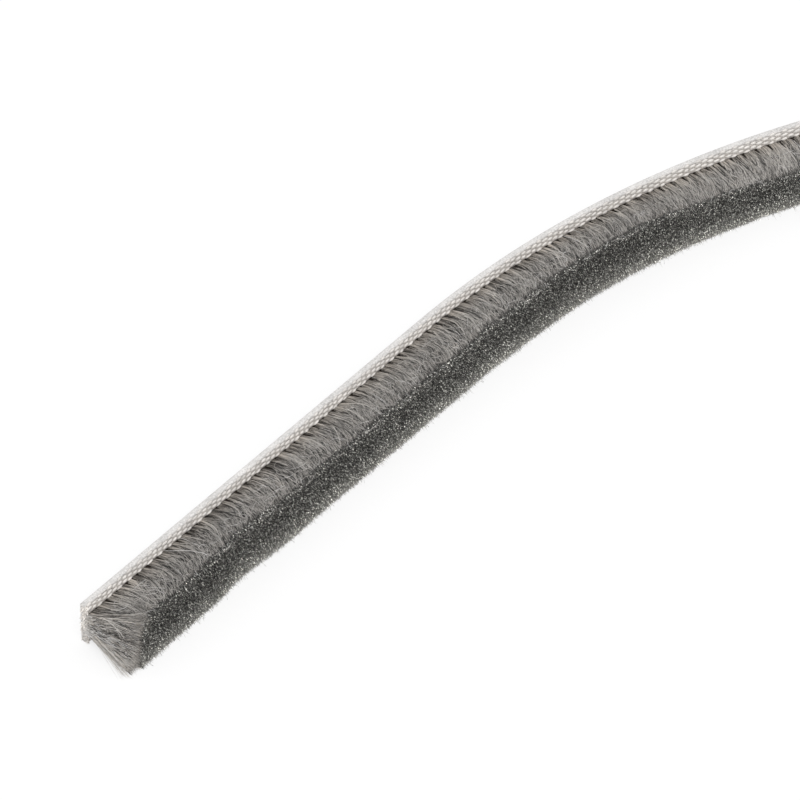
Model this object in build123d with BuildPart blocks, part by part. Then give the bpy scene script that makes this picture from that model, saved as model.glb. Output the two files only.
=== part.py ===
"""Brush seal strip: a pile weatherstrip, cut one metre long and lying loosely curved on its side.

A woven tape, stiff enough to slide into a T-shaped groove, carries a dense band of pile fibres.
The strip is swept along a flat path: a straight run, a bend, a long easy curve and a loose coil.

Frame: the origin is on the tape's back face, at the middle of its width, at the cut end.
+X runs along the straight run, away from the cut end. +Y is out of the tape's back face, so the
pile points to -Y. +Z is across the tape's width, and the strip rests on its lower edges.
"""

import os
from math import degrees, radians

from build123d import *

# Driving dimensions, in millimetres and degrees

# The tape
cut_length = 1000.0
tape_width = 6.9
tape_thickness = 0.85
tape_edge_chamfer = 0.2

# The woven cords that run along the tape's face, beside the pile
cord_diameter = 0.56
cord_spacing = 0.55
cords_each_side = 3
cord_inset = 0.28
cord_sides = 6

# The pile
overall_height = 9.0
pile_cord_clearance = 0.02
pile_upper_flare = 0.5
pile_lower_flare = 0.0
pile_tip_chamfer = 0.4
pile_crown = 0.2

# The route, seen from above; every turn is to the right, with the pile on its inner side
straight_run = 70.0
bend_radius = 145.0
bend_angle = 31.5
easy_curve_radius = 400.0
easy_curve_angle = 25.0
coil_radius = 130.0
coil_tightening = 7.5
coil_step_angle = 90.0


def route_arcs():
    """Radius and angle of each arc after the straight run, up to the strip's cut length."""
    arcs = [(bend_radius, bend_angle), (easy_curve_radius, easy_curve_angle)]
    used = straight_run + sum(radius * radians(angle) for radius, angle in arcs)
    radius = coil_radius
    while cut_length - used > 1e-6:
        angle = min(coil_step_angle, degrees((cut_length - used) / radius))
        arcs.append((radius, angle))
        used += radius * radians(angle)
        radius -= coil_tightening
    return arcs


# The path of the tape's back face, at the middle of its width
with BuildLine() as route:
    stretch = Line((0, 0), (straight_run, 0))
    for arc_radius, arc_angle in route_arcs():
        stretch = JernArc(stretch @ 1, stretch % 1, arc_radius, -arc_angle)

# The cut end's plane: its local x is the frame's +Y, and its local y is the frame's +Z
cut_end = Plane.YZ

half_width = tape_width / 2
cord_radius = cord_diameter / 2
cord_heights = [half_width - cord_inset - row * cord_spacing for row in range(cords_each_side)]

with BuildPart() as backing:
    with BuildSketch(cut_end) as tape_section:
        Rectangle(tape_thickness, tape_width, align=(Align.MAX, Align.CENTER))
        chamfer(tape_section.vertices(), tape_edge_chamfer)
        for height in cord_heights:
            with Locations((-tape_thickness, height), (-tape_thickness, -height)):
                RegularPolygon(cord_radius, cord_sides, rotation=180 / cord_sides)
    sweep(path=route.wire())

root_half_width = cord_heights[-1] - cord_radius - pile_cord_clearance
root_depth = tape_thickness + cord_radius
upper_tip = half_width + pile_upper_flare
lower_tip = -half_width - pile_lower_flare

with BuildPart() as pile:
    with BuildSketch(cut_end):
        with BuildLine():
            Polyline(
                (-tape_thickness, root_half_width),
                (-root_depth, root_half_width),
                (-overall_height + pile_crown, upper_tip),
                (-overall_height, (upper_tip + lower_tip) / 2),
                (-overall_height + pile_crown, lower_tip),
                (-root_depth, -root_half_width),
                (-tape_thickness, -root_half_width),
                close=True,
            )
        corners = make_face().vertices().sort_by(Axis.Y)
        chamfer([corners[0], corners[-1]], pile_tip_chamfer)
    sweep(path=route.wire())

os.makedirs("parts", exist_ok=True)

backing.part.label = "backing"
export_step(backing.part, "parts/backing.step")

pile.part.label = "pile"
export_step(pile.part, "parts/pile.step")
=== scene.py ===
"""Brush seal strip: a woven tape with a dense band of pile fibres, lying loosely curved on its side.

Every point is first given in the strip's own coordinates: its distance along the route from the cut
end, its depth from the tape's back face towards the pile's tips, and its height. One function then
bends those coordinates along the strip's route.
"""

from math import cos, radians, sin

import bpy
import numpy as np
from bpy.props import FloatProperty, FloatVectorProperty, IntProperty
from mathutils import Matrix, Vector


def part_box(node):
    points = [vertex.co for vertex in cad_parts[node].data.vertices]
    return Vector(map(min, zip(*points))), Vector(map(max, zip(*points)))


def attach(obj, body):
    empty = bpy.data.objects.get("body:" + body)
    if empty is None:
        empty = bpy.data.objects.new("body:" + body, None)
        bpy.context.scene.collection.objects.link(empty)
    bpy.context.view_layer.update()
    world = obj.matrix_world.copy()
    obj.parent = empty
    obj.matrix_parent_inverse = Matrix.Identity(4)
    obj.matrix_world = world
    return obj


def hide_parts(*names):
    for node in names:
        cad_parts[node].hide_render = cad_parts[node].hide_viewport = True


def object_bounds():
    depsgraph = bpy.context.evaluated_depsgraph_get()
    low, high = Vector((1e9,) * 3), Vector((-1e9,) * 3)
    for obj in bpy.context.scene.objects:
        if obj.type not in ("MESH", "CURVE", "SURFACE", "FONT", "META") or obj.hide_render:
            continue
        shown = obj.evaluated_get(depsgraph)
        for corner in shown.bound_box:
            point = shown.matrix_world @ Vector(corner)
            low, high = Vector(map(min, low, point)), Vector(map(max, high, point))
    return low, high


bl_info = {
    "name": "Brush seal strip",
    "version": (1, 0, 0),
    "blender": (4, 5, 0),
    "location": "3D View > Sidebar > Brush strip",
    "description": "Builds a pile weatherstrip: its woven tape, its fibres, and a plain stage",
    "category": "Object",
}

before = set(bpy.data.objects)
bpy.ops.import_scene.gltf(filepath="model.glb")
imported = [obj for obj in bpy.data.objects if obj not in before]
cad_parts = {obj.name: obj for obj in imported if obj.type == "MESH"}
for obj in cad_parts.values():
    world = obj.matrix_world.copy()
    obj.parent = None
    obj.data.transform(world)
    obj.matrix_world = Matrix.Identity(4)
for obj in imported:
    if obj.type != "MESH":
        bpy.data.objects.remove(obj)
CAD_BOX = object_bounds()
TAPE_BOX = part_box("backing")

MM = 0.001
TAPE_WIDTH = TAPE_BOX[1].z - TAPE_BOX[0].z
FLOOR_HEIGHT = CAD_BOX[0].z
UPWARDS = (0.0, 0.0, 1.0)


class StripSizes(bpy.types.PropertyGroup):
    """Sizes of the tape and the pile."""

    strip_length: FloatProperty(
        name="Strip length", description="Length of the strip along its route",
        default=1000 * MM, unit="LENGTH")
    tape_thickness: FloatProperty(
        name="Tape thickness", description="Thickness of the tape without its yarn floats",
        default=0.85 * MM, unit="LENGTH")
    tape_edge_radius: FloatProperty(
        name="Tape edge radius", description="Rounding of the tape's coated edges",
        default=0.2 * MM, unit="LENGTH")
    yarn_stagger: FloatProperty(
        name="Yarn stagger", description="How far each row's floats lie past those of the row outside it",
        default=1.0 * MM, unit="LENGTH")
    yarn_phase: FloatProperty(
        name="Yarn phase", description="Distance from the cut end to the outer row's first float",
        default=0.7 * MM, unit="LENGTH")
    yarn_row_spacing: FloatProperty(
        name="Yarn row spacing", description="Distance between neighbouring rows of yarn floats",
        default=0.385 * MM, unit="LENGTH")
    yarn_inset: FloatProperty(
        name="Yarn inset", description="Distance of the outer row from the tape's edge",
        default=0.21 * MM, unit="LENGTH")
    yarn_rows: IntProperty(
        name="Yarn rows", description="Rows of yarn floats on each margin", default=5)
    overall_height: FloatProperty(
        name="Overall height", description="From the tape's back face to the pile's tips",
        default=9.0 * MM, unit="LENGTH")
    root_half_width: FloatProperty(
        name="Pile root half width", description="Half the width of the pile where it leaves the tape",
        default=1.72 * MM, unit="LENGTH")
    tuft_pitch: FloatProperty(
        name="Tuft pitch", description="Distance between neighbouring tufts along the strip",
        default=2.0 * MM, unit="LENGTH")
    fine_length: FloatProperty(
        name="Fine length", description="Length from the cut end with the finest fibres",
        default=150 * MM, unit="LENGTH")
    fade_length: FloatProperty(
        name="Fade length", description="Length over which the finest fibres give way to wider ones",
        default=40 * MM, unit="LENGTH")


class StripColours(bpy.types.PropertyGroup):
    """Colours of the tape and the pile, as linear values."""

    tape_film: FloatVectorProperty(
        name="Tape film", description="The smooth coating along the tape's back and edges",
        default=(0.66, 0.645, 0.63), size=3, subtype="COLOR")
    tape_weave: FloatVectorProperty(
        name="Tape weave", description="The weave between the yarn floats",
        default=(0.64, 0.6, 0.563), size=3, subtype="COLOR")
    tape_yarn: FloatVectorProperty(
        name="Tape yarn", description="The yarn floats on the tape's margins",
        default=(0.96, 0.925, 0.885), size=3, subtype="COLOR")
    fibre_root: FloatVectorProperty(
        name="Fibre root", description="The fibres where they leave the tape",
        default=(0.4, 0.368, 0.332), size=3, subtype="COLOR")
    fibre: FloatVectorProperty(
        name="Fibre", description="The fibres along the pile's sides",
        default=(0.325, 0.309, 0.289), size=3, subtype="COLOR")
    fibre_tip: FloatVectorProperty(
        name="Fibre tips", description="The cut ends of the fibres",
        default=(0.272, 0.268, 0.25), size=3, subtype="COLOR")
    pale_fibre: FloatVectorProperty(
        name="Pale fibres", description="The few pale fibres that catch the light",
        default=(0.62, 0.605, 0.59), size=3, subtype="COLOR")
    # painted shade: the core's dark colour stands for the shade deep in the pile
    core: FloatVectorProperty(
        name="Pile core", description="The dark depth between the fibres",
        default=(0.035, 0.026, 0.02), size=3, subtype="COLOR")


class StageSettings(bpy.types.PropertyGroup):
    """Camera and light."""

    view_heading: FloatProperty(
        name="View heading", description="Angle from the straight run to the picture's right",
        default=radians(50.587), unit="ROTATION")
    view_elevation: FloatProperty(
        name="View elevation", description="How steeply the camera looks down",
        default=radians(44.0), unit="ROTATION")
    view_distance: FloatProperty(
        name="View distance", description="From the camera to the point it looks at",
        default=897.3 * MM, unit="LENGTH")
    view_lens: FloatProperty(
        name="Lens", description="Focal length in millimetres on a 36 mm wide frame",
        default=297.6)
    view_point: FloatVectorProperty(
        name="View point", description="The point that the camera looks at",
        default=(61.32 * MM, -3.47 * MM, -3.45 * MM), size=3, subtype="TRANSLATION")
    shadow_share: FloatProperty(
        name="Shadow share", description="How much of the object's shadow the floor keeps",
        default=0.28, min=0.0, max=1.0, subtype="FACTOR")


# The strip's route: the same straight run and arcs as the solids'

STRAIGHT_RUN = 70.0 * MM
BEND_RADIUS = 145.0 * MM
BEND_ANGLE = 31.5
EASY_CURVE_RADIUS = 400.0 * MM
EASY_CURVE_ANGLE = 25.0
COIL_RADIUS = 130.0 * MM
COIL_TIGHTENING = 7.5 * MM
COIL_STEP_ANGLE = 90.0

# Profiles along the strip: distances from the cut end and values there, both in millimetres

# How far the upper tips stand above the tape's edge
UPPER_FLARE = (
    (0, 0.5), (14, 0.6), (23, 1.25), (30, 0.45), (40, 0.95), (45, 0.55), (60, 0.8), (68, 0.4),
    (80, 0.75), (91, 1.05), (98, 0.85), (105, 1.05), (112, 0.1), (122, -0.4), (130, -1.0),
    (140, -1.2), (170, -0.4), (200, 0.4), (1000, 0.5),
)
# How far all the tips reach past the overall height
TIP_REACH = (
    (0, 0.35), (6, 0.3), (12, 0.2), (19.5, 0.15), (22.5, -0.8), (25, 0.0), (30, 0.1), (45, 0.1),
    (66, 0.25), (80, 0.3), (92, -0.12), (104, -0.25), (115, -0.08), (126, 0.0), (140, 0.05), (1000, 0.0),
)
# How far along the strip the tips lie past their roots; below 0, back towards the cut end
LEAN = ((0, 1.5), (2, 0.6), (4.5, -0.8), (9, -2.1), (90, -2.2), (125, -1.0), (1000, -1.2))
# How much lighter the side fibres and the cut ends are, in shares of their tone
SIDE_LIGHT = ((0, -0.15), (30, -0.13), (50, -0.09), (100, -0.05), (115, 0.02), (1000, 0.02))
TIP_LIGHT = ((0, 0.01), (30, 0.07), (60, 0.1), (100, 0.1), (115, 0.24), (1000, 0.2))

# How far before and after each entry a profile's turn is smoothed, in millimetres
SOFT_TURN = 3

# Each ripple of the upper edge: its height and wavelength in millimetres, and its phase
RIPPLES = ((0.12, 1.9, 0.0), (0.1, 0.83, 1.0))

# How far along the lowest and the uppermost tips start, where the cut end slopes, in millimetres
CUT_SLOPE = (1.0, 2.2)
# The same for the loose fibres over the cut ends, which fan outwards below
END_SLOPE = (-0.55, 2.2)
# How far up a cut end the crease lies that parts its upper tufts from its lower ones
CREASE_PLACE = 0.56

# How far inside the pile's outline the fibres are rooted, and how far its upper side bows outwards
ROOT_INSET = 0.1 * MM
SIDE_BOW = 0.25 * MM
# The height of the lowest fibres, just clear of the floor
LOWEST_FIBRE = FLOOR_HEIGHT + 0.03 * MM

# A fibre's tone: the lightest of the grey ones, and that of the pale ones
LIGHTEST = 0.94
PALE = 1.0

# Keeps the length of a direction above 0
TINY = 1e-12


class Route:
    """The line of the tape's back face, seen from above."""

    def __init__(self, length):
        arcs = [(0.0, STRAIGHT_RUN)]
        arcs.append((1 / BEND_RADIUS, BEND_RADIUS * radians(BEND_ANGLE)))
        arcs.append((1 / EASY_CURVE_RADIUS, EASY_CURVE_RADIUS * radians(EASY_CURVE_ANGLE)))
        radius = COIL_RADIUS
        while sum(stretch for _, stretch in arcs) < length:
            arcs.append((1 / radius, radius * radians(COIL_STEP_ANGLE)))
            radius -= COIL_TIGHTENING
        self.curvatures, stretches = (np.array(values) for values in zip(*arcs))
        self.starts = np.concatenate([[0.0], np.cumsum(stretches)[:-1]])
        self.headings = np.concatenate([[0.0], -np.cumsum(self.curvatures * stretches)[:-1]])
        self.places = np.zeros((len(arcs), 2))
        for arc, stretch in enumerate(stretches[:-1]):
            self.places[arc + 1] = self._along_arc(np.array(arc), np.array(stretch))

    def _along_arc(self, arc, distance):
        bend = self.curvatures[arc] * distance
        chord = distance * np.sinc(bend / 2 / np.pi)
        middle = self.headings[arc] - bend / 2
        step = np.stack([np.cos(middle), np.sin(middle)], -1) * chord[..., None]
        return self.places[arc] + step

    def _arc(self, distance):
        found = np.searchsorted(self.starts, distance, side="right") - 1
        return np.clip(found, 0, len(self.starts) - 1)

    def heading(self, distance):
        """Heading at each distance, from +X."""
        arc = self._arc(distance)
        return self.headings[arc] - (distance - self.starts[arc]) * self.curvatures[arc]

    def bend(self, along, depth, height):
        """Points of the bent strip from their strip coordinates."""
        along, depth, height = np.broadcast_arrays(along, depth, height)
        arc = self._arc(along)
        heading = self.heading(along)
        place = self._along_arc(arc, along - self.starts[arc])
        x = place[..., 0] + np.sin(heading) * depth
        y = place[..., 1] - np.cos(heading) * depth
        return np.stack([x, y, height], -1)


def new_piece(name, points, faces, material, smooth=False, numbers=None):
    """A piece from an array of points and a list of face arrays, each with one corner count."""
    points = np.array(points, np.float32)
    points[:, 2] = np.maximum(points[:, 2], FLOOR_HEIGHT)
    mesh = bpy.data.meshes.new(name)
    mesh.vertices.add(len(points))
    mesh.vertices.foreach_set("co", points.ravel())
    corners = np.concatenate([block.ravel() for block in faces])
    counts = np.concatenate([np.full(len(block), block.shape[1]) for block in faces])
    mesh.loops.add(len(corners))
    mesh.loops.foreach_set("vertex_index", corners.astype(np.int32))
    mesh.polygons.add(len(counts))
    starts = np.concatenate([[0], np.cumsum(counts)[:-1]])
    mesh.polygons.foreach_set("loop_start", starts.astype(np.int32))
    mesh.polygons.foreach_set("use_smooth", np.full(len(counts), smooth))
    mesh.update(calc_edges=True)
    mesh.validate()
    for label, values in (numbers or {}).items():
        layer = mesh.attributes.new(label, "FLOAT", "POINT")
        layer.data.foreach_set("value", np.ascontiguousarray(values, np.float32).ravel())
    mesh.materials.append(material)
    piece = bpy.data.objects.new(name, mesh)
    bpy.context.scene.collection.objects.link(piece)
    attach(piece, "root")
    return piece


def sweep_mesh(route, section, stations):
    """Points and faces of a closed section, as (depth, height) rows, carried along the route."""
    count = len(section)
    rings = len(stations)
    points = route.bend(stations[:, None], section[None, :, 0], section[None, :, 1]).reshape(-1, 3)
    ring = np.arange(rings - 1)[:, None] * count
    corner = np.arange(count)[None, :]
    after = (corner + 1) % count
    sides = np.stack([ring + corner, ring + after, ring + count + after, ring + count + corner], -1)
    caps = np.stack([np.arange(count)[::-1], (rings - 1) * count + np.arange(count)])
    return points, [sides.reshape(-1, 4), caps]


def blade_mesh(centre, facing, width):
    """Points and faces of thin pointed blades along rows of centre points, flat across the facing."""
    number, knots = centre.shape[:2]
    across = np.cross(np.gradient(centre, axis=1), facing)
    across /= np.linalg.norm(across, axis=-1, keepdims=True) + TINY
    half = across * (width[..., None] / 2)
    points = np.stack([centre - half, centre + half], 2).reshape(number, -1, 3)
    points = np.concatenate([points[:, :-2], centre[:, -1:]], 1)
    size = points.shape[1]
    first = np.arange(number)[:, None] * size
    low = first + np.arange(knots - 2)[None, :] * 2
    last = first[:, 0] + size - 3
    sides = np.stack([low, low + 1, low + 3, low + 2], -1).reshape(-1, 4)
    return points.reshape(-1, 3), [sides, np.stack([last, last + 1, last + 2], -1)]


def bristle_mesh(foot, end, facing, width):
    """Points and faces of one triangle for each bristle, with its wide side at the cut end."""
    across = np.cross(end - foot, facing)
    across *= (width / 2 / (np.linalg.norm(across, axis=-1) + TINY))[:, None]
    points = np.stack([foot, end - across, end + across], 1)
    return points.reshape(-1, 3), [np.arange(len(foot) * 3).reshape(-1, 3)]


def blade_numbers(values):
    """Spreads a number given at each knot of each blade over the blade's points."""
    return np.repeat(values, 2, axis=1)[:, :-1].ravel()


def knot_row(count):
    """How far up a fibre each of its knots lies, from 0 at its root to 1 at its tip."""
    return np.linspace(0, 1, count)[None, :]


class Value:
    """A number or colour socket, on which arithmetic adds Math nodes."""

    def __init__(self, nodes, socket):
        self.nodes = nodes
        self.socket = socket

    def _math(self, operation, first, second):
        return self.nodes.node("ShaderNodeMath", {"operation": operation}, {0: first, 1: second})

    def __add__(self, other):
        return self._math("ADD", self, other)

    def __sub__(self, other):
        return self._math("SUBTRACT", self, other)

    def __mul__(self, other):
        return self._math("MULTIPLY", self, other)

    def __pow__(self, other):
        return self._math("POWER", self, other)

    def __radd__(self, other):
        return self._math("ADD", other, self)

    def __rsub__(self, other):
        return self._math("SUBTRACT", other, self)

    def __rmul__(self, other):
        return self._math("MULTIPLY", other, self)


class Nodes:
    """The nodes of a material or of the world."""

    def __init__(self, tree):
        self.tree = tree

    def node(self, kind, settings=None, sockets=None, output=0):
        """Adds a node, with its settings first and then its sockets' values or links."""
        made = self.tree.nodes.new(kind)
        for setting, value in (settings or {}).items():
            setattr(made, setting, value)
        for name, value in (sockets or {}).items():
            if isinstance(value, Value):
                self.feed(made.inputs[name], value)
            else:
                made.inputs[name].default_value = value
        return Value(self, made.outputs[output])

    def feed(self, socket, value):
        """Links a value to a socket."""
        self.tree.links.new(value.socket, socket)


class Finish(Nodes):
    """A material, with one shader and the nodes that feed it."""

    def __init__(self, name, roughness, specular):
        self.material = bpy.data.materials.new(name)
        self.material.use_nodes = True
        super().__init__(self.material.node_tree)
        self.shader = self.tree.nodes["Principled BSDF"]
        self.shader.inputs["Roughness"].default_value = roughness
        self.shader.inputs["Specular IOR Level"].default_value = specular

    def link(self, name, value):
        """Feeds one of the shader's own sockets."""
        self.feed(self.shader.inputs[name], value)

    def number(self, label):
        """A number stored on the mesh."""
        return self.node("ShaderNodeAttribute", {"attribute_name": label}, output="Fac")

    def noise(self, scale, detail=2.0, place=None):
        """Soft noise from 0 to 1, with a scale in features for each metre."""
        place = place or self.node("ShaderNodeTexCoord", output="Object")
        sockets = {"Vector": place, "Scale": scale, "Detail": detail}
        return self.node("ShaderNodeTexNoise", {}, sockets, "Fac")

    def rises(self, value, low, high):
        """Rises smoothly from 0 at low to 1 at high."""
        sockets = {"Value": value, "From Min": low, "From Max": high}
        return self.node("ShaderNodeMapRange", {"interpolation_type": "SMOOTHSTEP"}, sockets)

    def mix(self, share, first, second, blend="MIX"):
        """Mixes two colours."""
        settings = {"data_type": "RGBA", "blend_type": blend}
        sockets = {0: share, 6: as_colour(first), 7: as_colour(second)}
        return self.node("ShaderNodeMix", settings, sockets, 2)

    def shaded(self, colour, brightness):
        """A colour made lighter or darker by a number."""
        levels = {0: brightness, 1: brightness, 2: brightness}
        return self.mix(1.0, colour, self.node("ShaderNodeCombineColor", {}, levels), "MULTIPLY")

    def bump(self, height, distance, strength=1.0):
        """Relief from a height between 0 and 1."""
        sockets = {"Height": height, "Distance": distance, "Strength": strength}
        self.link("Normal", self.node("ShaderNodeBump", {}, sockets))


def as_colour(value):
    """A linked colour as it is, or three numbers with an alpha of 1."""
    return value if isinstance(value, Value) else (*value, 1.0)


def fibre_finish(colours):
    """Dull plastic fibre: brownish at the root, with a thin painted shadow where it leaves the tape, each
    fibre lighter or darker, and a few pale ones.
    """
    finish = Finish("pile_fibre", roughness=0.5, specular=0.4)
    tone = finish.number("tone")
    spread = finish.number("spread")
    drift = finish.noise(220.0, 3.0)
    warm = finish.rises(finish.noise(600.0), 0.5, 0.75)
    body = finish.mix(finish.rises(spread, 0.0, 0.45) * (1 - 0.45 * warm), colours.fibre_root, colours.fibre)
    # painted shadow: a thin dark line where the fibres leave the tape
    painted_root_shadow = 0.45 + 0.55 * finish.rises(spread, 0.0, 0.05)
    tip_shade = 1 - 0.08 * finish.rises(spread, 0.3, 0.6)
    brightness = (0.14 + 1.62 * tone + 0.3 * (drift - 0.5)) * (painted_root_shadow * tip_shade)
    pale = finish.rises(tone, 0.965, 0.985)
    finish.link("Base Color", finish.mix(pale, finish.shaded(body, brightness), colours.pale_fibre))
    finish.link("Roughness", 0.42 + 0.25 * drift)
    return finish.material


def tip_finish(colours):
    """The cut ends: painted shade in the depth between them, painted highlights on the light ones, painted
    light from the floor's bounce towards the pile's lower edge, and paler near its upper edge.
    """
    finish = Finish("pile_cut_ends", roughness=0.6, specular=0.3)
    tone = finish.number("tone")
    # low carries painted light from the floor's bounce, strongest at the pile's lower edge
    low = finish.number("low")
    edges = 0.5 * low + 0.3 * finish.number("high") + 1.6 * finish.number("along")
    drift = finish.noise(500.0, 3.0)
    # each bristle is dark below its cut end, as painted shade of the depth between cut ends, and a light one
    # takes a painted highlight at its end
    end = finish.rises(finish.number("spread"), 0.6, 0.95)
    brightness = (0.115 + 0.27 * low + (0.03 + 5.3 * tone ** 3) * end) * (0.77 + edges + 0.4 * drift)
    pale = finish.rises(tone, 0.975, 0.985) * end
    shaded = finish.shaded(colours.fibre_tip, brightness)
    finish.link("Base Color", finish.mix(pale, shaded, colours.pale_fibre))
    finish.link("Roughness", 0.5 + 0.25 * drift)
    return finish.material


def core_finish(colours):
    """Painted shade: a dark colour for the shaded depth under the fibres, with fine streaks."""
    finish = Finish("pile_core", roughness=0.8, specular=0.2)
    streaks = finish.noise(2500.0)
    drift = finish.noise(300.0)
    finish.link("Base Color", finish.shaded(colours.core, 0.6 + 0.8 * streaks * drift))
    finish.bump(streaks, 0.15 * MM)
    return finish.material


def tape_finish(colours):
    """The tape: a smooth coating on the back and edges, and bare weave beside the pile, with painted shade in
    the valleys between its rows of yarn.
    """
    finish = Finish("tape_film", roughness=0.45, specular=0.5)
    run = finish.number("run")
    rise = finish.number("rise")
    woven = finish.number("woven")
    streak_place = finish.node("ShaderNodeCombineXYZ", {}, {0: run * 0.12, 1: rise, 2: woven})
    streaks = finish.noise(3.0, 3.0, streak_place)
    cloud = finish.noise(350.0, 3.0)
    speckle = finish.noise(3800.0)
    colour = finish.mix(woven, colours.tape_film, colours.tape_weave)
    brightness = 0.11 + 0.28 * cloud + 0.45 * streaks + 1.0 * speckle
    # painted shade: the weave is darker in the valleys between the rows of yarn
    brightness = brightness * (1 - 0.08 * finish.rises(finish.number("valley_shade"), 0.2, 0.8))
    finish.link("Base Color", finish.shaded(colour, brightness))
    finish.link("Roughness", 0.35 + 0.3 * cloud)
    rib_place = finish.node("ShaderNodeCombineXYZ", {}, {0: run, 1: rise * 0.5})
    ribs = finish.node("ShaderNodeTexWave", {}, {"Vector": rib_place, "Scale": 0.314, "Distortion": 0.6}, 1)
    finish.bump(0.35 * ribs + 0.4 * speckle + 0.25 * streaks, 0.06 * MM, 0.6)
    return finish.material


def yarn_finish(colours):
    """The tape's yarn floats, cream, with painted light on their tops and painted shade at their rims."""
    finish = Finish("tape_yarn", roughness=0.42, specular=0.5)
    tone = finish.number("tone")
    top = finish.number("spread")
    fine = finish.noise(4000.0)
    # painted light and shade: each bead takes the weave's colour at its rim and the yarn's towards its top
    colour = finish.mix(finish.rises(top, 0.0, 0.6), colours.tape_weave, colours.tape_yarn)
    finish.link("Base Color", finish.shaded(colour, 0.8 + 0.14 * tone + 0.3 * (fine - 0.5)))
    finish.bump(fine, 0.04 * MM)
    return finish.material


class Draws:
    """Arrays of random numbers, one for each fibre."""

    def __init__(self, generator, shape):
        self.generator = generator
        self.shape = shape

    def even(self, low=0.0, high=1.0):
        return self.generator.uniform(low, high, self.shape)

    def normal(self, spread, middle=0.0):
        return self.generator.normal(middle, spread, self.shape)

    def gamma(self, shape, scale):
        return self.generator.gamma(shape, scale, self.shape)

    def chance(self, share):
        return self.generator.random(self.shape) < share

    def with_pale(self, tone, share):
        """The tones, with a share of the fibres pale."""
        return np.where(self.even() > 1 - share, PALE, tone)

    def facing(self, direction, scatter):
        """The directions that flat blades face, scattered round one direction."""
        return self.generator.normal(0, scatter, (*self.shape, 3)) + np.array(direction)


class Strip:
    """The sizes, the route and the random numbers that a piece is made with."""

    def __init__(self, context, seed):
        self.sizes = context.scene.strip_sizes
        self.colours = context.scene.strip_colours
        self.route = Route(self.sizes.strip_length)
        self.random = np.random.default_rng(seed)
        self.half_width = TAPE_WIDTH / 2
        self.root_depth = self.sizes.tape_thickness + ROOT_INSET

    def draws(self, *shape):
        return Draws(self.random, shape)

    def stations(self, fine_step, coarse_step):
        """Distances along the strip, closer together in the fine length."""
        fine = np.arange(0.0, self.sizes.fine_length, fine_step)
        count = int((self.sizes.strip_length - fine[-1]) / coarse_step)
        coarse = np.linspace(fine[-1] + fine_step, self.sizes.strip_length, count)
        return np.concatenate([fine, coarse])

    def cut_ends(self):
        """Each cut end's label, its distance along the strip, and the direction out of it."""
        return ("cut", 0.0, -1), ("far", self.sizes.strip_length, 1)

    def density(self, along, fine):
        """The share of the fine fibres, or of the coarse ones that take over from them."""
        past = (along - self.sizes.fine_length) / self.sizes.fade_length
        fineness = np.clip(1 - past, 0, 1)
        return fineness if fine else 1 - fineness

    def follow(self, profile, along):
        """A profile's value at each distance, with smooth turns between its entries."""
        places, values = np.array(profile).T * MM
        blur = np.linspace(-SOFT_TURN, SOFT_TURN, 7) * MM
        return sum(np.interp(along + offset, places, values) for offset in blur) / len(blur)

    def light(self, profile, along):
        """How much lighter the fibres are at each distance."""
        return self.follow(profile, along) / MM

    def lean(self, along):
        """How far the tips lie past their roots at each distance, in millimetres."""
        return np.interp(along / MM, *zip(*LEAN))

    def tip_depth(self, along):
        """Depth of the tips at each distance."""
        return self.sizes.overall_height + self.follow(TIP_REACH, along)

    def upper_tip(self, along):
        """Height of the uppermost tips at each distance."""
        ripple = sum(high * np.sin(along / (long * MM) + phase) for high, long, phase in RIPPLES)
        return self.half_width + self.follow(UPPER_FLARE, along) + ripple * MM

    def side(self, along, depth, up):
        """Height of the pile's upper or lower side."""
        share = (depth - self.root_depth) / (self.sizes.overall_height - self.root_depth)
        tip = self.upper_tip(along) if up > 0 else FLOOR_HEIGHT
        root = up * (self.sizes.root_half_width - ROOT_INSET)
        bow = SIDE_BOW * np.sin(np.pi * np.clip(share, 0, 1)) * (up > 0)
        return root + share * (tip - root) + bow

    def blades(self, name, finish, along, depth, height, facing, width, tone, spread, slot="pile_fibre"):
        """A piece of many pointed blades, kept above the floor."""
        height = np.maximum(height, LOWEST_FIBRE)
        centre = self.route.bend(along, depth, height)
        points, faces = blade_mesh(centre, facing, np.broadcast_to(width, centre.shape[:2]))
        numbers = {}
        for label, values in (("tone", tone), ("spread", spread)):
            numbers[label] = blade_numbers(np.broadcast_to(values, centre.shape[:2]))
        new_piece(name, points, faces, finish, False, numbers)


# The beads of yarn on the tape's margins
BEAD_HALF_LENGTH = 0.58 * MM
BEAD_HALF_WIDTH = 0.3 * MM
BEAD_SLOPE = 0.12
BEAD_SIDES = 6
# Each ring of a bead: its share of the bead's size, its share of the height, and how much painted light it
# takes, from the shaded rim to the lit top
BEAD_RINGS = ((1.0, 0.0, 0.0), (0.7, 0.65, 0.6), (0.0, 1.0, 1.0))
# How far the weave stands proud between the valleys, under its beads
WEAVE_BULGE = 0.06 * MM
# The tape's margin at its cut ends that has no beads
BEAD_END_GAP = 0.5 * MM


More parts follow.
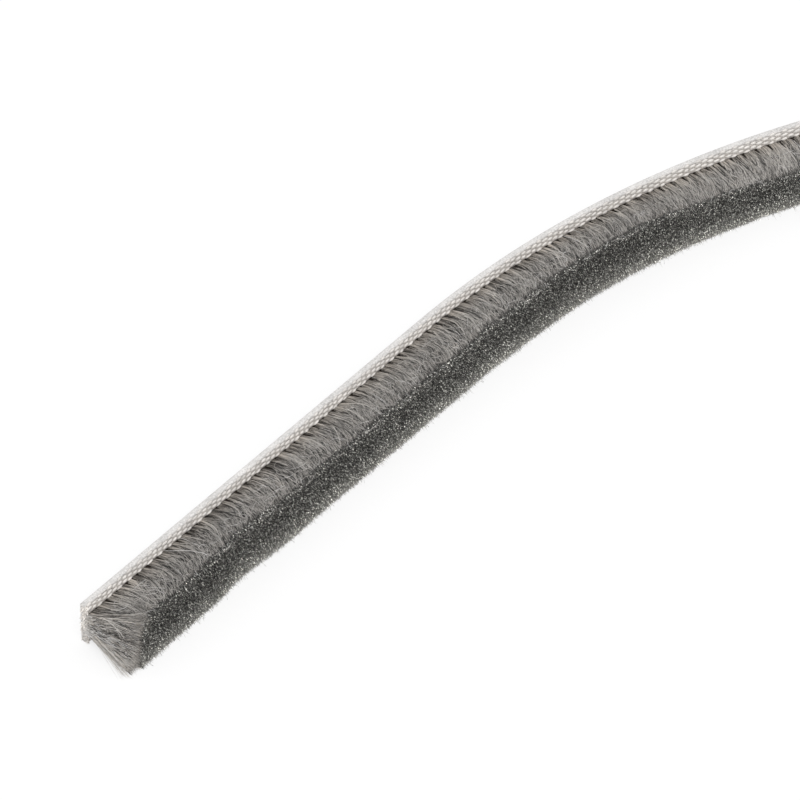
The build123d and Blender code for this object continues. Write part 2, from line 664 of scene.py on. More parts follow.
class BRUSH_OT_tape(bpy.types.Operator):
    """Builds the woven tape: its coated body and the yarn floats on its margins"""

    bl_idname = "brush_strip.tape"
    bl_label = "Woven tape"

    def execute(self, context):
        strip = Strip(context, seed=11)
        self.body(strip)
        self.floats(strip)
        return {"FINISHED"}

    def row_heights(self, strip):
        sizes = strip.sizes
        first = strip.half_width - sizes.yarn_inset
        return [first - row * sizes.yarn_row_spacing for row in range(sizes.yarn_rows)]

    def margins(self, strip):
        """The front face from its upper to its lower edge, with a low bulge for each row of yarn."""
        sizes = strip.sizes
        heights = self.row_heights(strip)
        half = sizes.yarn_row_spacing / 2
        points = []
        for middle in heights + [-height for height in reversed(heights)]:
            # the coating thins out over the outer rows
            bare = min(1.0, 0.2 + 0.4 * (heights[0] - abs(middle)) / sizes.yarn_row_spacing)
            for share, bulge in ((0.8, 0), (0.6, 1), (-0.6, 1), (-0.8, 0), (-1.0, 0)):
                # the points between rows mark the valleys, which take painted shade
                valley_shade = bool(points) and not bulge
                depth = sizes.tape_thickness + bulge * WEAVE_BULGE
                points.append((depth, middle + share * half, bare, valley_shade))
        return points

    def body(self, strip):
        """The tape's section, whose rows are depth, height, weave and valley, along the route."""
        sizes = strip.sizes
        radius = sizes.tape_edge_radius
        turn = np.linspace(0, np.pi / 2, 4)
        back = radius
        front = sizes.tape_thickness - radius
        edge = strip.half_width - radius

        def corner(depth, height, angle):
            coated = np.zeros(len(angle))
            return list(zip(depth + radius * np.cos(angle), height + radius * np.sin(angle), coated, coated))

        section = corner(back, -edge, turn[::-1] + np.pi) + corner(back, edge, turn[::-1] + np.pi / 2)
        section += corner(front, edge, turn[::-1]) + self.margins(strip) + corner(front, -edge, -turn)
        section = np.array(section)
        stations = strip.stations(fine_step=2.0 * MM, coarse_step=4.0 * MM)
        points, faces = sweep_mesh(strip.route, section, stations)
        rings = len(stations)
        numbers = {
            "run": np.repeat(stations / MM, len(section)),
            "rise": np.tile(section[:, 1] / MM, rings),
            "woven": np.tile(section[:, 2], rings),
            "valley_shade": np.tile(section[:, 3], rings),
        }
        finish = tape_finish(strip.colours)
        piece = new_piece("tape_body", points, faces, finish, True, numbers)
        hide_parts("backing")

    def floats(self, strip):
        """In each row, one bead of yarn for each tuft, and the next row's beads in its gaps."""
        sizes = strip.sizes
        repeats = np.arange(-1.0, sizes.strip_length / sizes.tuft_pitch + 2) * sizes.tuft_pitch
        rows = []
        for side in (1, -1):
            for row, height in enumerate(self.row_heights(strip)):
                middle = repeats + sizes.yarn_phase + row * sizes.yarn_stagger
                # inner rows stand taller and are lighter: painted light against the shade of the pile beside
                # them
                kind = [side * height, side * BEAD_SLOPE, 0.2 + 0.05 * row]
                rows.append(np.column_stack([middle, np.tile(kind, (len(middle), 1))]))
        rows = np.concatenate(rows)
        inside = (rows[:, 0] > BEAD_END_GAP) & (rows[:, 0] < sizes.strip_length - BEAD_END_GAP)
        points, faces, tone, top = self.beads(strip, *rows[inside].T[..., None])
        numbers = {"tone": tone, "spread": top}
        finish = yarn_finish(strip.colours)
        new_piece("tape_yarn_floats", points, faces, finish, True, numbers)

    def beads(self, strip, middle, height, slope, light):
        """Points, faces and numbers of low domes, each turned by its slope."""
        count = len(middle)
        draw = strip.draws(count, 1)
        middle = middle + draw.normal(0.04 * MM)
        height = height + draw.normal(0.02 * MM)
        half_long = BEAD_HALF_LENGTH * (1 + draw.normal(0.12))
        half_wide = BEAD_HALF_WIDTH * (1 + draw.normal(0.1))
        foot = strip.sizes.tape_thickness + 0.02 * MM
        lift = (0.17 + 0.1 * light) * MM * (1 + draw.normal(0.1))
        angle = np.arctan(slope + draw.normal(0.08))
        around = np.arange(BEAD_SIDES) * np.pi / (BEAD_SIDES / 2)
        rings = []
        tops = []
        for share, rise, top in BEAD_RINGS:
            long = np.cos(around) * half_long * share
            wide = np.sin(around) * half_wide * share
            along = middle + np.cos(angle) * long - np.sin(angle) * wide
            across = height + np.sin(angle) * long + np.cos(angle) * wide
            ring = strip.route.bend(along, foot + rise * lift, across)
            rings.append(ring if share else ring[:, :1])
            tops += [top] * rings[-1].shape[1]
        points = np.concatenate(rings, 1)
        size = points.shape[1]
        first = np.arange(count)[:, None] * size
        low = first + np.arange(BEAD_SIDES)
        after = first + (np.arange(BEAD_SIDES) + 1) % BEAD_SIDES
        walls = np.stack([low, low + BEAD_SIDES, after + BEAD_SIDES, after], -1)
        peak = np.broadcast_to(first + size - 1, low.shape)
        caps = np.stack([low + BEAD_SIDES, peak, after + BEAD_SIDES], -1)
        tone = np.repeat(draw.even() + light, size)
        return points.reshape(-1, 3), [walls.reshape(-1, 4), caps.reshape(-1, 3)], tone, np.tile(tops, count)


class BRUSH_OT_tape_ends(bpy.types.Operator):
    """Builds the short frayed yarns at the tape's two cut ends"""

    bl_idname = "brush_strip.tape_ends"
    bl_label = "Frayed tape ends"

    yarns: IntProperty(name="Yarns", description="Frayed yarns at each end", default=1000)

    def execute(self, context):
        strip = Strip(context, seed=16)
        draw = strip.draws(self.yarns, 1)
        finish = yarn_finish(strip.colours)
        knots = knot_row(4)
        deepest = strip.sizes.tape_thickness + 0.38 * MM
        for label, start, out in strip.cut_ends():
            depth = draw.even(0.04 * MM, deepest)
            height = draw.even(-0.98, 0.98) * strip.half_width
            reach = draw.gamma(2.0, 0.1) * MM
            along = start + out * (reach * knots - 0.15 * MM)
            depth = depth + draw.normal(0.1) * MM * knots ** 2
            height = height + draw.normal(0.16) * MM * knots ** 2
            facing = draw.facing((0.0, 0.0, 0.0), 1)
            width = (0.12 - 0.05 * knots) * MM
            tone = strip.random.choice([-0.6, 0.5, 1.5, 2.1, 2.4], draw.shape) + draw.normal(0.2)
            strip.blades("tape_frayed_end_" + label, finish, along, depth, height, facing, width,
                         tone, 0.2 + 0.4 * knots, "woven_tape")
        return {"FINISHED"}


# The points of the pile core's section: how far each lies from root to tip, and its share of the sink
CORE_SECTION = ((0.0, 0.25), (0.05, 0.6), (0.3, 1.0), (0.6, 1.0), (0.93, 1.1), (1.0, 2.4))
# The length over which the core slopes back at the cut ends
CORE_SLOPE_LENGTH = 6 * MM


class BRUSH_OT_pile_core(bpy.types.Operator):
    """Builds the pile's core under its fibres, painted dark as the shade deep in the pile"""

    bl_idname = "brush_strip.pile_core"
    bl_label = "Pile core"

    sink: FloatProperty(
        name="Sink", description="How far the core lies under the pile's sides",
        default=0.5 * MM, unit="LENGTH")
    tip_sink: FloatProperty(
        name="Tip sink", description="How far the core lies under the pile's cut ends",
        default=1.0 * MM, unit="LENGTH")
    end_sink: FloatProperty(
        name="End sink", description="How far the core lies inside the strip's cut ends",
        default=1.0 * MM, unit="LENGTH")

    def execute(self, context):
        strip = Strip(context, seed=12)
        length = strip.sizes.strip_length
        root = strip.sizes.tape_thickness
        stations = strip.stations(fine_step=1.0 * MM, coarse_step=3.0 * MM)
        stations = np.unique(np.clip(stations, self.end_sink, length - self.end_sink))
        rings = stations[:, None]
        shares, sinks = (np.array([values]) for values in zip(*CORE_SECTION))
        depth = root + shares * (strip.tip_depth(rings) - self.tip_sink - root)
        sink = sinks * self.sink
        upper = strip.side(rings, depth, 1) - sink
        lower = strip.side(rings, depth, -1) + sink
        depths = np.concatenate([depth, depth[:, ::-1]], 1)
        heights = np.concatenate([lower, upper[:, ::-1]], 1)
        # both ends slope back towards the tips
        from_end = length / 2 - np.abs(rings - length / 2) - self.end_sink
        inwards = np.sign(length / 2 - rings)
        slope = np.clip(1 - from_end / CORE_SLOPE_LENGTH, 0, 1) * CUT_SLOPE[1] * MM * inwards
        alongs = rings + slope * np.concatenate([shares, shares[:, ::-1]], 1)
        points = strip.route.bend(alongs, depths, heights).reshape(-1, 3)
        faces = sweep_mesh(strip.route, np.zeros((depths.shape[1], 2)), stations)[1]
        piece = new_piece("pile_core", points, faces, core_finish(strip.colours))
        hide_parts("pile")
        return {"FINISHED"}


# Each kind of side fibre: its piece, whether it is a fine one, the fibres in a tuft, the side that it
# is on, its width in millimetres, and the points along it
SIDE_FIBRES = (
    ("pile_upper_fibres_fine", True, 170, 1, 0.095, 7),
    ("pile_upper_fibres", False, 41, 1, 0.19, 5),
    ("pile_under_fibres_fine", True, 44, -1, 0.12, 4),
    ("pile_under_fibres", False, 18, -1, 0.22, 4),
)
# The locks that a tuft is made of, half its length along the strip at the root, and how much farther
# its outermost fibres fan out, in millimetres
TUFT_LOCKS = 6
TUFT_HALF_LENGTH = 0.75
TUFT_FAN = 0.28
# How deep the side fibres are rooted
ROOT_SINK = 0.12 * MM
# Their lean grows as this power of how far up they are, over this length in millimetres
LEAN_POWER = 1.8
LEAN_RUN = 8.05


class BRUSH_OT_side_fibres(bpy.types.Operator):
    """Builds the long fibres that fan out from each tuft over the pile's two sides"""

    bl_idname = "brush_strip.side_fibres"
    bl_label = "Side fibres"

    surface_lengths: IntProperty(
        name="Surface lengths", description="Short lengths of fibre on the pile's upper side", default=9000)

    def execute(self, context):
        strip = Strip(context, seed=13)
        finish = fibre_finish(strip.colours)
        sizes = strip.sizes
        centres = np.arange(sizes.tuft_pitch / 2, sizes.strip_length, sizes.tuft_pitch)
        centres = centres + strip.draws(len(centres)).normal(0.05 * MM)
        for name, fine, count, up, width, knots in SIDE_FIBRES:
            reached = centres < sizes.fine_length + sizes.fade_length if fine else centres > sizes.fine_length
            tufts = centres[reached]
            counts = np.round(count * strip.density(tufts, fine)).astype(int)
            self.side(strip, name, finish, tufts, counts, up, width, knot_row(knots))
        self.wisps(strip, finish)
        return {"FINISHED"}

    def side(self, strip, name, finish, centres, counts, up, width, knots):
        """The fibres of all tufts on one side. Each tuft is a few locks in two halves."""
        tuft = np.repeat(np.arange(len(centres)), counts)[:, None]
        draw = strip.draws(*tuft.shape)
        each_tuft = strip.draws(len(centres))
        centre = centres[tuft]
        lock = strip.random.integers(0, TUFT_LOCKS, tuft.shape)
        lock_lean, lock_turn, lock_tone = strip.draws(3, len(centres), TUFT_LOCKS).normal(1)[:, tuft, lock]
        tuft_lean = each_tuft.normal(1)[tuft]
        half_gap = each_tuft.even(0.02, 0.12)[tuft]
        lock_lift = strip.draws(len(centres), TUFT_LOCKS).even()[tuft, lock]
        wild = draw.chance(0.1)
        # each fibre keeps near its lock's place, from -1 to 1 along the tuft
        place = np.clip((lock + 0.5) / TUFT_LOCKS * 2 - 1 + draw.normal(0.12), -1, 1)
        # the halves stand a little apart at the root, and neighbouring tufts a little farther
        root = place * TUFT_HALF_LENGTH * MM + np.sign(place) * half_gap * MM
        opening = np.clip((knots - 0.06) / 0.34, 0, 1)
        fan = place * TUFT_FAN * MM * opening * opening * (3 - 2 * opening)
        layer = draw.even() ** 1.5
        lean = strip.lean(centre + root)
        lean = lean + 0.3 * tuft_lean + 0.42 * lock_lean + draw.normal(0.4) * (1 + 3.0 * wild)
        turn = 0.1 + 0.14 * lock_turn + draw.normal(0.1)
        wave = draw.normal(0.06) * MM
        phase = draw.even(0, 2 * np.pi)
        along = centre + root + fan + lean * MM * knots ** LEAN_POWER
        along = along + turn * MM * np.sin(np.pi * knots) ** 2
        along = along + wave * np.sin(knots * 11 + phase) * opening
        # the outermost fibres end first, so that the pile's edge is rounded
        short = (1 - layer) * draw.even() * 0.8 * MM
        length = (strip.tip_depth(centre) - strip.root_depth) * (1.0 + draw.normal(0.015)) - short
        depth = strip.root_depth - ROOT_SINK + (length + ROOT_SINK) * knots
        # fibres rise and dip, so that each shows only here and there
        dip = 0.5 + 0.5 * np.sin(knots * draw.even(5, 11) + phase * 2)
        under = (layer * 0.34 + (1 - lock_lift) * 0.2 + 0.1 * dip) * (0.2 + knots)
        pillow = 0.2 * place ** 4 * np.exp(-5 * knots)
        droop = 0.2 * knots ** 12
        lift = draw.even() * 0.25 * wild * np.sin(np.pi * knots)
        height = strip.side(along, depth, up) - up * (under + pillow + droop - lift) * MM
        facing = draw.facing((0.0, 0.0, up), 0.5)
        thin = width * draw.even(0.7, 1.3) * MM * (1 - 0.3 * knots)
        # deeper layers of fibre are darker: painted shade
        tone = 0.5 + 0.13 * lock_tone + draw.even(-0.68, 0.68) - 0.1 * layer
        tone = tone + strip.light(SIDE_LIGHT, centre)
        # painted shade: a fibre is darker where it dips under its neighbours, and at a tuft's edges near the
        # root, in the slits between tufts
        edge = place ** 8 * np.exp(-4 * knots)
        tone = np.clip(tone - 0.2 * (dip - 0.5) - 0.45 * edge, 0.0, LIGHTEST)
        tone = draw.with_pale(tone, 0.006)
        strip.blades(name, finish, along, depth, height, facing, thin, tone, knots)

    def wisps(self, strip, finish):
        """Short lengths of fibre on the upper side: light ones, and dark ones set a little lower as painted
        shade for the gaps between them.
        """
        draw = strip.draws(self.surface_lengths, 1)
        fibre_length = strip.sizes.overall_height - strip.root_depth
        knots = knot_row(4)
        place = draw.even(2.5, strip.sizes.fine_length / MM + 12) * MM
        length = draw.gamma(3.0, 0.55) * MM
        room = strip.tip_depth(place) - length - 1.9 * MM
        start = 1.7 * MM + np.maximum(room, 0) * draw.even()
        share = (start - strip.root_depth) / fibre_length
        # each follows the bend of the long fibres there: their line's slope at that share
        flow = strip.lean(place) / LEAN_RUN * LEAN_POWER * np.clip(share + 0.1, 0, 1) ** (LEAN_POWER - 1)
        slope = flow + draw.normal(0.15)
        curl = (0.5 * flow + draw.normal(0.12)) * knots
        depth = start + length * knots * np.cos(slope + curl)
        along = place + length * knots * np.sin(slope + curl)
        # the dark lengths are painted shade for the gaps between fibres
        dark = draw.chance(0.4)
        arch = draw.even(0.0, 0.08) * np.sin(np.pi * knots) - 0.06 - 0.05 * dark
        height = strip.side(along, depth, 1) + arch * MM
        facing = draw.facing(UPWARDS, 0.4)
        width = draw.even(0.05, 0.09) * MM * (1 - 0.6 * np.abs(2 * knots - 1) ** 2)
        tone = np.where(dark, draw.even(-0.1, 0.2), draw.even(0.5, LIGHTEST))
        tone = tone + strip.light(SIDE_LIGHT, place)
        tone = draw.with_pale(tone, 0.015)
        spread = share + length * knots / strip.sizes.overall_height
        strip.blades("pile_upper_wisps", finish, along, depth, height, facing, width, tone, spread)


# The tip face's width, as a share of the tape's, over which the cut ends are spread in rows
TIP_FACE_SHARE = 1.19
# One cut end in each block of this many columns and rows is a light one, with a painted highlight
LIGHT_BLOCK = (2, 3)
# The length of a cut end that is modelled
BRISTLE_LENGTH = 0.75 * MM


class BRUSH_OT_tip_fibres(bpy.types.Operator):
    """Builds the cut ends that stand close together on the pile's tip face"""

    bl_idname = "brush_strip.tip_fibres"
    bl_label = "Cut ends"

    fine_step: FloatProperty(
        name="Fine step", description="Distance between cut ends in the fine length",
        default=0.086 * MM, unit="LENGTH")
    coarse_step: FloatProperty(
        name="Coarse step", description="Distance between cut ends elsewhere",
        default=0.27 * MM, unit="LENGTH")
    whiskers: IntProperty(
        name="Whiskers", description="Fine fibres along the pile's lower edge", default=12000)

    def execute(self, context):
        strip = Strip(context, seed=14)
        finish = tip_finish(strip.colours)
        sizes = strip.sizes
        fade_end = sizes.fine_length + sizes.fade_length
        stretches = (
            ("pile_cut_ends_fine", 0.0, fade_end, self.fine_step, True),
            ("pile_cut_ends", sizes.fine_length, sizes.strip_length, self.coarse_step, False),
        )
        for name, start, end, step, fine in stretches:
            columns = int((end - start) / step)
            rows = int(TAPE_WIDTH * TIP_FACE_SHARE / step)
            column, row = np.indices((columns, rows)).reshape(2, -1)
            draw = strip.draws(len(column))
            along = start + (column + draw.even()) * step
            share = (row + draw.even()) / rows
            light = self.lit(strip, columns, rows, column, row)
            keep = draw.chance(strip.density(along, fine))
            self.stretch(strip, finish, name, along[keep], share[keep], light[keep], step)
        self.fringe(strip, fibre_finish(strip.colours))
        return {"FINISHED"}

    def lit(self, strip, columns, rows, column, row):
        """Which cut ends are light, with a painted highlight: one in each block, so that they are spread
        evenly.
        """
        wide, tall = LIGHT_BLOCK
        blocks = strip.random.integers(0, wide * tall, (columns // wide + 1, rows // tall + 1))
        return blocks[column // wide, row // tall] == column % wide * tall + row % tall

    def stretch(self, strip, finish, name, along, share, light, step):
        """The cut ends of one stretch, each given by its distance along and its share of the height."""
        draw = strip.draws(len(along))
        height = FLOOR_HEIGHT + share * (strip.upper_tip(along) - FLOOR_HEIGHT)
        # shallow clumps, a rounded upper edge, and a few thin fibres that were cut long
        clump = np.sin(along / (0.31 * MM) + 2 * np.sin(share * 11)) * np.sin(share * 14 + along / (0.9 * MM))
        swell = np.sin(along / (1.7 * MM) + 1.3 * np.sin(along / (4.1 * MM)))
        upper_edge = 1 - np.clip((1 - share) * 7, 0, 1)
        lower_edge = 1 - np.clip(share * 10, 0, 1)
        ragged = draw.normal(0.14) + 0.02 * clump + 0.05 * swell
        ragged = ragged - 0.45 * upper_edge ** 2 + 0.06 * lower_edge
        long = draw.chance(0.05 + 0.3 * lower_edge)
        ragged = ragged + long * draw.gamma(1.5, 0.13)
        tip = strip.tip_depth(along) + ragged * MM
        foot_along = along + draw.normal(0.28, 0.3) * BRISTLE_LENGTH
        foot_height = height - ((share - 0.5) * 0.4 + draw.normal(0.24)) * BRISTLE_LENGTH
        # the cut end slopes, so its tips start farther along, most of all above
        cut = (CUT_SLOPE[0] + (CUT_SLOPE[1] - CUT_SLOPE[0]) * share) * MM + draw.normal(0.15) * MM
        lines = (along, foot_along)
        along, foot_along = (np.where(line < cut, cut + 0.35 * (cut - line), line) for line in lines)
        foot = strip.route.bend(foot_along, tip - BRISTLE_LENGTH, np.maximum(foot_height, LOWEST_FIBRE))
        end = strip.route.bend(along, tip, np.maximum(height, LOWEST_FIBRE))
        # most ends are dark, as painted shade of the depth, and the few light ones are painted highlights
        # between them
        width = step * draw.even(0.8, 1.3) * (1 - 0.5 * long)
        points, faces = bristle_mesh(foot, end, draw.facing((0.0, 0.0, 0.0), 1), width)
        tone = np.where(light, draw.even(0.7, 0.96), draw.even(0.05, 0.58))
        tone = draw.with_pale(tone, 0.004)
        numbers = {
            "tone": np.repeat(tone, 3),
            "spread": np.tile([0.0, 1.0, 1.0], len(along)),
            # painted light from the floor's bounce, strongest at the lower edge
            "low": np.repeat(np.clip(1.25 - share * 2.0, 0, 1.25) ** 1.5, 3),
            "high": np.repeat(np.clip(share * 8 - 7, 0, 1), 3),
            "along": np.repeat(strip.light(TIP_LIGHT, along), 3),
        }
        new_piece(name, points, faces, finish, False, numbers)

    def fringe(self, strip, finish):
        """Soft whiskers along the pile's lower edge, most of them in the fine length."""
        draw = strip.draws(self.whiskers, 1)
        near = strip.sizes.fine_length
        first = 1.5 * MM
        last = strip.sizes.strip_length - first
        rooted = 0.7 * MM
        along = np.where(draw.chance(0.75), draw.even(first, near), draw.even(near, last))
        knots = knot_row(3)
        reach = draw.gamma(2.0, 0.14) * MM
        depth = strip.tip_depth(along) - rooted + (rooted + reach) * knots
        height = FLOOR_HEIGHT + (draw.even(0.1, 0.9) - 0.3 * knots) * MM
        shift = draw.normal(0.3, -0.25) * MM * knots
        facing = draw.facing(UPWARDS, 0.5)
        width = 0.05 * MM * (1 - 0.4 * knots) * (1 + (along > near))
        tone = np.where(draw.chance(0.25), PALE, draw.even(0.6, 0.95))
        strip.blades("pile_lower_fringe", finish, along + shift, depth, height, facing, width,
                     tone, 0.3 + 0.4 * knots)


class CutEnd:
    """One cut end of the strip, with the lines that loose fibres follow over it."""

    def __init__(self, strip, start, out):
        self.strip = strip
        self.start = start
        self.out = out
        self.reach = strip.tip_depth(start) - strip.root_depth
        heading = strip.route.heading(start)
        self.facing = (cos(heading) * out, sin(heading) * out, 0.25)

    def sides(self, depth):
        """Heights of the pile's lower and upper side at each depth."""
        return self.strip.side(self.start, depth, -1), self.strip.side(self.start, depth, 1)

    def slope(self, share):
        """How far outwards the fibres fan, from the lowest to the uppermost."""
        return -END_SLOPE[0] - (END_SLOPE[1] - END_SLOPE[0]) * share

    def along(self, splay, knots, offset):
        """Distances along the strip, from how far each fibre splays outwards in millimetres."""
        return self.start + self.out * MM * (splay * knots ** 1.2 + offset)

    def spread(self, warm, knots):
        """The warm fibres stay as brown as a root over their whole length."""
        return np.where(warm, 0.08, 0.25 + 0.6 * knots)

    def root_highlight(self, knots):
        """Painted highlight: the fibres are lighter near the tape, where it holds them together."""
        return 0.35 * np.clip(1 - knots / 0.16, 0, 1)


# At the near and the far cut end: the knots of each whole fibre, and the number of short lengths
END_KNOTS = (11, 6)
END_LENGTHS = (3600, 1800)


class BRUSH_OT_end_fibres(bpy.types.Operator):
    """Builds the loose fibres that fan out over the strip's two cut ends"""

    bl_idname = "brush_strip.end_fibres"
    bl_label = "End fibres"

    fibres: IntProperty(name="Fibres", description="Fibres over each cut end", default=2800)

    def execute(self, context):
        strip = Strip(context, seed=15)
        finish = fibre_finish(strip.colours)
        for (label, start, out), knots, lengths in zip(strip.cut_ends(), END_KNOTS, END_LENGTHS):
            end = CutEnd(strip, start, out)
            self.fan(strip, end, "pile_end_fibres_" + label, finish, knot_row(knots))
            self.wisps(strip, end, "pile_end_wisps_" + label, finish, lengths)
        return {"FINISHED"}

    def fan(self, strip, end, name, finish, knots):
        """Whole fibres, from the tape to the tips."""
        draw = strip.draws(self.fibres, 1)
        share = draw.even()
        layer = draw.even()
        lock = np.sin(share * 40) * 0.5 + np.sin(share * 23 + 1) * 0.5
        outlying = (share < 0.25) & draw.chance(0.15)
        rooted = 0.2 * MM
        depth = strip.root_depth - rooted + (end.reach + rooted) * knots * (1 + draw.normal(0.03, -0.01))
        low, high = end.sides(depth)
        wander = (draw.normal(0.075) + 0.03 * lock) * knots
        height = low + (share + wander) * (high - low)
        height = height + draw.normal(0.2) * MM * np.sin(knots * 9 + layer * 9)
        height = height + draw.normal(0.05) * MM * np.sin(knots * 27 + layer * 50)
        # a crease parts the upper tufts from the lower ones
        crease = np.exp(-((share - CREASE_PLACE) / 0.045) ** 2) * 0.7
        slope = end.slope(share) + 0.1 * lock - crease
        splay = slope + draw.normal(0.2) - (0.6 + 1.1 * (1 - share)) * layer
        splay = splay + outlying * (0.3 + 1.1 * layer + draw.gamma(2.0, 0.45))
        along = end.along(splay, knots, 0.05 - (0.35 * layer + 0.6 * crease) * (0.3 + knots))
        facing = draw.facing(end.facing, 0.5)
        width = 0.085 * MM * (1 - 0.4 * knots) * (1 - 0.35 * outlying)
        # painted light: the lower fibres are lighter and more often pale, against the shade near the floor;
        # painted shade darkens them at the crease
        painted_low_light = np.clip(1.4 - share * 2.2, 0, 1)
        tone = 0.45 + draw.even(-0.5, 0.45) + 0.33 * painted_low_light - 1.2 * crease
        # each fibre is painted lighter and darker along its length, as painted shade where it passes under
        # others, so that pale ones show as short lengths and dots
        dip = np.sin(knots * draw.even(8, 26) + layer * 40)
        pale = outlying | draw.chance(0.12 + 0.3 * painted_low_light + 0.3 * (share < 0.15))
        tone = np.where(pale, 0.92 + 0.12 * dip, np.clip(tone + 0.2 * dip, 0.0, LIGHTEST))
        spread = end.spread(draw.chance(0.3), knots)
        strip.blades(name, finish, along, depth, height, facing, width, tone + end.root_highlight(knots), spread)

    def wisps(self, strip, end, name, finish, number):
        """Short lengths of fibre on the cut end: pale ones, more of them on the lower half as painted light,
        and dark ones as painted shade for the gaps between them, most of all at the crease.
        """
        draw = strip.draws(number, 1)
        share = draw.even() ** 1.3
        first = draw.even(0.02, 0.88)
        length = draw.gamma(2.5, 0.3) * MM
        knots = np.minimum(first + length / end.reach * knot_row(4), 1.0)
        depth = strip.root_depth + end.reach * knots
        low, high = end.sides(depth)
        height = low + share * (high - low) + draw.normal(0.3) * (knots - first) * end.reach
        height = np.clip(height, low + 0.05 * MM, high)
        arch = draw.even(-0.1, 0.18) + 0.1 * (1 - share)
        along = end.along(end.slope(share), knots, arch)
        facing = draw.facing(end.facing, 0.4)
        width = draw.even(0.05, 0.09) * MM * np.array([[0.5, 1.0, 1.0, 0.4]])
        # painted light and shade: more pale lengths on the lower half, and dark lengths for the gaps, most of
        # all at the crease
        pale = draw.chance(0.2 + 0.5 * (share < 0.5))
        dark = draw.chance(0.4 + 0.4 * (np.abs(share - CREASE_PLACE) < 0.05))
        tone = np.where(dark, draw.even(-0.05, 0.15), draw.even(0.4, 0.9))
        tone = np.where(pale & ~dark, PALE, tone)
        spread = end.spread(draw.chance(0.35), knots)
        strip.blades(name, finish, along, depth, height, facing, width, tone + end.root_highlight(knots), spread)


class BRUSH_OT_stray_fibres(bpy.types.Operator):
    """Builds the stray pale fibres that lie across the pile's upper side"""

    bl_idname = "brush_strip.stray_fibres"
    bl_label = "Stray fibres"

    fibres: IntProperty(name="Fibres", description="Stray fibres along the strip", default=900)

    def execute(self, context):
        strip = Strip(context, seed=17)
        finish = fibre_finish(strip.colours)
        draw = strip.draws(self.fibres, 1)
        knots = knot_row(9)
        near = draw.chance(0.45)
        along = np.where(near, draw.even(2, 150), draw.even(150, 998)) * MM
        depth = (2.0 + 6.6 * draw.even() ** 0.7) * MM
        step = draw.even(0.8, 3.2) * MM * knots
        heading = draw.normal(0.9, 1.9)
        angle = heading + draw.normal(1.1) * (knots - 0.5)
        alongs = along + np.cos(angle) * step
        depths = np.minimum(depth + np.sin(angle) * step, strip.tip_depth(along) + 0.2 * MM)
        arch = draw.even(0.02, 0.3) * MM * np.sin(np.pi * knots)
        height = strip.side(alongs, depths, 1) + arch + 0.03 * MM
        facing = draw.facing(UPWARDS, 0.4)
        width = np.where(near, 0.05, 0.08) * MM * (1 - 0.3 * knots)
        tone = np.where(draw.chance(0.5), PALE, 0.9)
        strip.blades("pile_stray_fibres", finish, alongs, depths, height, facing, width,
                     tone, 0.5 + 0.3 * knots)
        return {"FINISHED"}


WHITE = (1.0, 1.0, 1.0, 1.0)
FLOOR_COLOUR = (0.97, 0.97, 0.97, 1.0)
FLOOR_HALF_WIDTH = 3.0
# How strongly the white world lights the object, against the 1 that the camera sees
WORLD_LIGHT = 0.8
# Each lamp's name, its place in metres, and its power in watts
LAMPS = (("key", (-0.6, -0.55, 1.1), 8.0), ("fill", (0.9, -0.8, 0.7), 2.8))


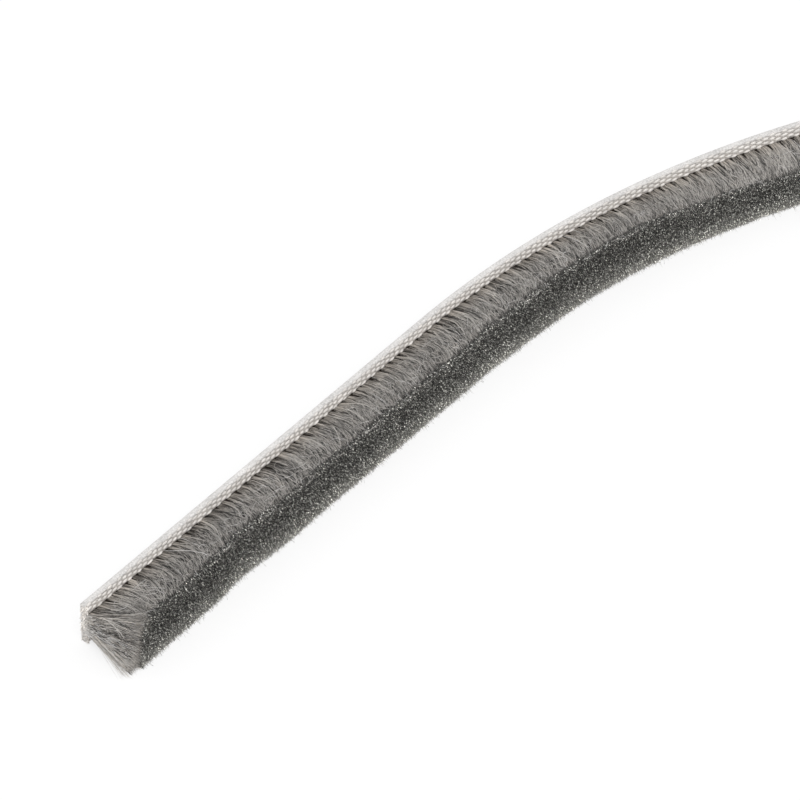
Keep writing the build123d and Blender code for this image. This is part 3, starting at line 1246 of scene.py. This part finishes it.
class BRUSH_OT_stage(bpy.types.Operator):
    """Builds the floor, the lamps, the world and the camera"""

    bl_idname = "brush_strip.stage"
    bl_label = "Stage"

    def execute(self, context):
        self.floor(context)
        self.lamps(context)
        self.world(context)
        self.camera(context)
        return {"FINISHED"}

    def floor(self, context):
        half = FLOOR_HALF_WIDTH
        mesh = bpy.data.meshes.new("floor")
        corners = [(-half, -half), (half, -half), (half, half), (-half, half)]
        mesh.from_pydata([(x, y, FLOOR_HEIGHT) for x, y in corners], [], [(0, 1, 2, 3)])
        finish = Finish("floor", roughness=0.9, specular=0.0)
        finish.shader.inputs["Base Color"].default_value = FLOOR_COLOUR
        # the camera sees mostly plain white, and a share of the lit floor with the shadow on it
        white = finish.node("ShaderNodeEmission")
        seen = finish.node("ShaderNodeLightPath", output="Is Camera Ray")
        lit = Value(finish, finish.shader.outputs[0])
        share = seen * (1 - context.scene.stage_settings.shadow_share)
        mixed = finish.node("ShaderNodeMixShader", {}, {0: share, 1: lit, 2: white})
        finish.feed(finish.tree.nodes["Material Output"].inputs["Surface"], mixed)
        mesh.materials.append(finish.material)
        floor = bpy.data.objects.new("floor", mesh)
        context.scene.collection.objects.link(floor)

    def lamps(self, context):
        for name, place, power in LAMPS:
            light = bpy.data.lights.new(name, "AREA")
            light.shape = "SQUARE"
            light.size = 1.0
            light.energy = power
            lamp = bpy.data.objects.new(name, light)
            lamp.location = place
            lamp.rotation_euler = (-Vector(place)).to_track_quat("-Z", "Y").to_euler()
            context.scene.collection.objects.link(lamp)

    def world(self, context):
        world = bpy.data.worlds.new("studio")
        world.use_nodes = True
        context.scene.world = world
        nodes = Nodes(world.node_tree)
        camera_ray = nodes.node("ShaderNodeLightPath", output="Is Camera Ray")
        glossy_ray = nodes.node("ShaderNodeLightPath", output="Is Glossy Ray")
        seen = nodes.node("ShaderNodeMath", {"operation": "MAXIMUM"}, {0: camera_ray, 1: glossy_ray})
        levels = {"Value": seen, "To Min": WORLD_LIGHT, "To Max": 1.0}
        background = world.node_tree.nodes["Background"]
        background.inputs["Color"].default_value = WHITE
        nodes.feed(background.inputs["Strength"], nodes.node("ShaderNodeMapRange", {}, levels))

    def camera(self, context):
        stage = context.scene.stage_settings
        data = bpy.data.cameras.new("camera")
        data.lens = stage.view_lens
        data.sensor_width = 36.0
        data.clip_end = 20.0
        camera = bpy.data.objects.new("camera", data)
        flat = cos(stage.view_elevation)
        look = Vector((sin(stage.view_heading) * flat, cos(stage.view_heading) * flat,
                       -sin(stage.view_elevation)))
        camera.location = Vector(stage.view_point) - look * stage.view_distance
        camera.rotation_euler = look.to_track_quat("-Z", "Y").to_euler()
        context.scene.collection.objects.link(camera)
        context.scene.camera = camera


PIECES = (
    BRUSH_OT_tape,
    BRUSH_OT_tape_ends,
    BRUSH_OT_pile_core,
    BRUSH_OT_side_fibres,
    BRUSH_OT_tip_fibres,
    BRUSH_OT_end_fibres,
    BRUSH_OT_stray_fibres,
    BRUSH_OT_stage,
)


class BRUSH_PT_strip(bpy.types.Panel):
    """Lists the strip's sizes, colours and pieces"""

    bl_idname = "BRUSH_PT_strip"
    bl_label = "Brush seal strip"
    bl_space_type = "VIEW_3D"
    bl_region_type = "UI"
    bl_category = "Brush strip"

    def draw(self, context):
        scene = context.scene
        for group in (scene.strip_sizes, scene.strip_colours, scene.stage_settings):
            box = self.layout.box()
            for name in group.__annotations__:
                box.prop(group, name)
        for piece in PIECES:
            self.layout.operator(piece.bl_idname)


GROUPS = {
    "strip_sizes": StripSizes,
    "strip_colours": StripColours,
    "stage_settings": StageSettings,
}


def register():
    for group in (*GROUPS.values(), *PIECES, BRUSH_PT_strip):
        bpy.utils.register_class(group)
    for name, group in GROUPS.items():
        setattr(bpy.types.Scene, name, bpy.props.PointerProperty(type=group))


def unregister():
    for name in GROUPS:
        delattr(bpy.types.Scene, name)
    for group in (BRUSH_PT_strip, *reversed(PIECES), *GROUPS.values()):
        bpy.utils.unregister_class(group)


def main():
    register()
    bpy.context.scene.view_settings.view_transform = "Standard"
    for piece in PIECES:
        space, name = piece.bl_idname.split(".")
        getattr(getattr(bpy.ops, space), name)()


if __name__ == "__main__":
    main()
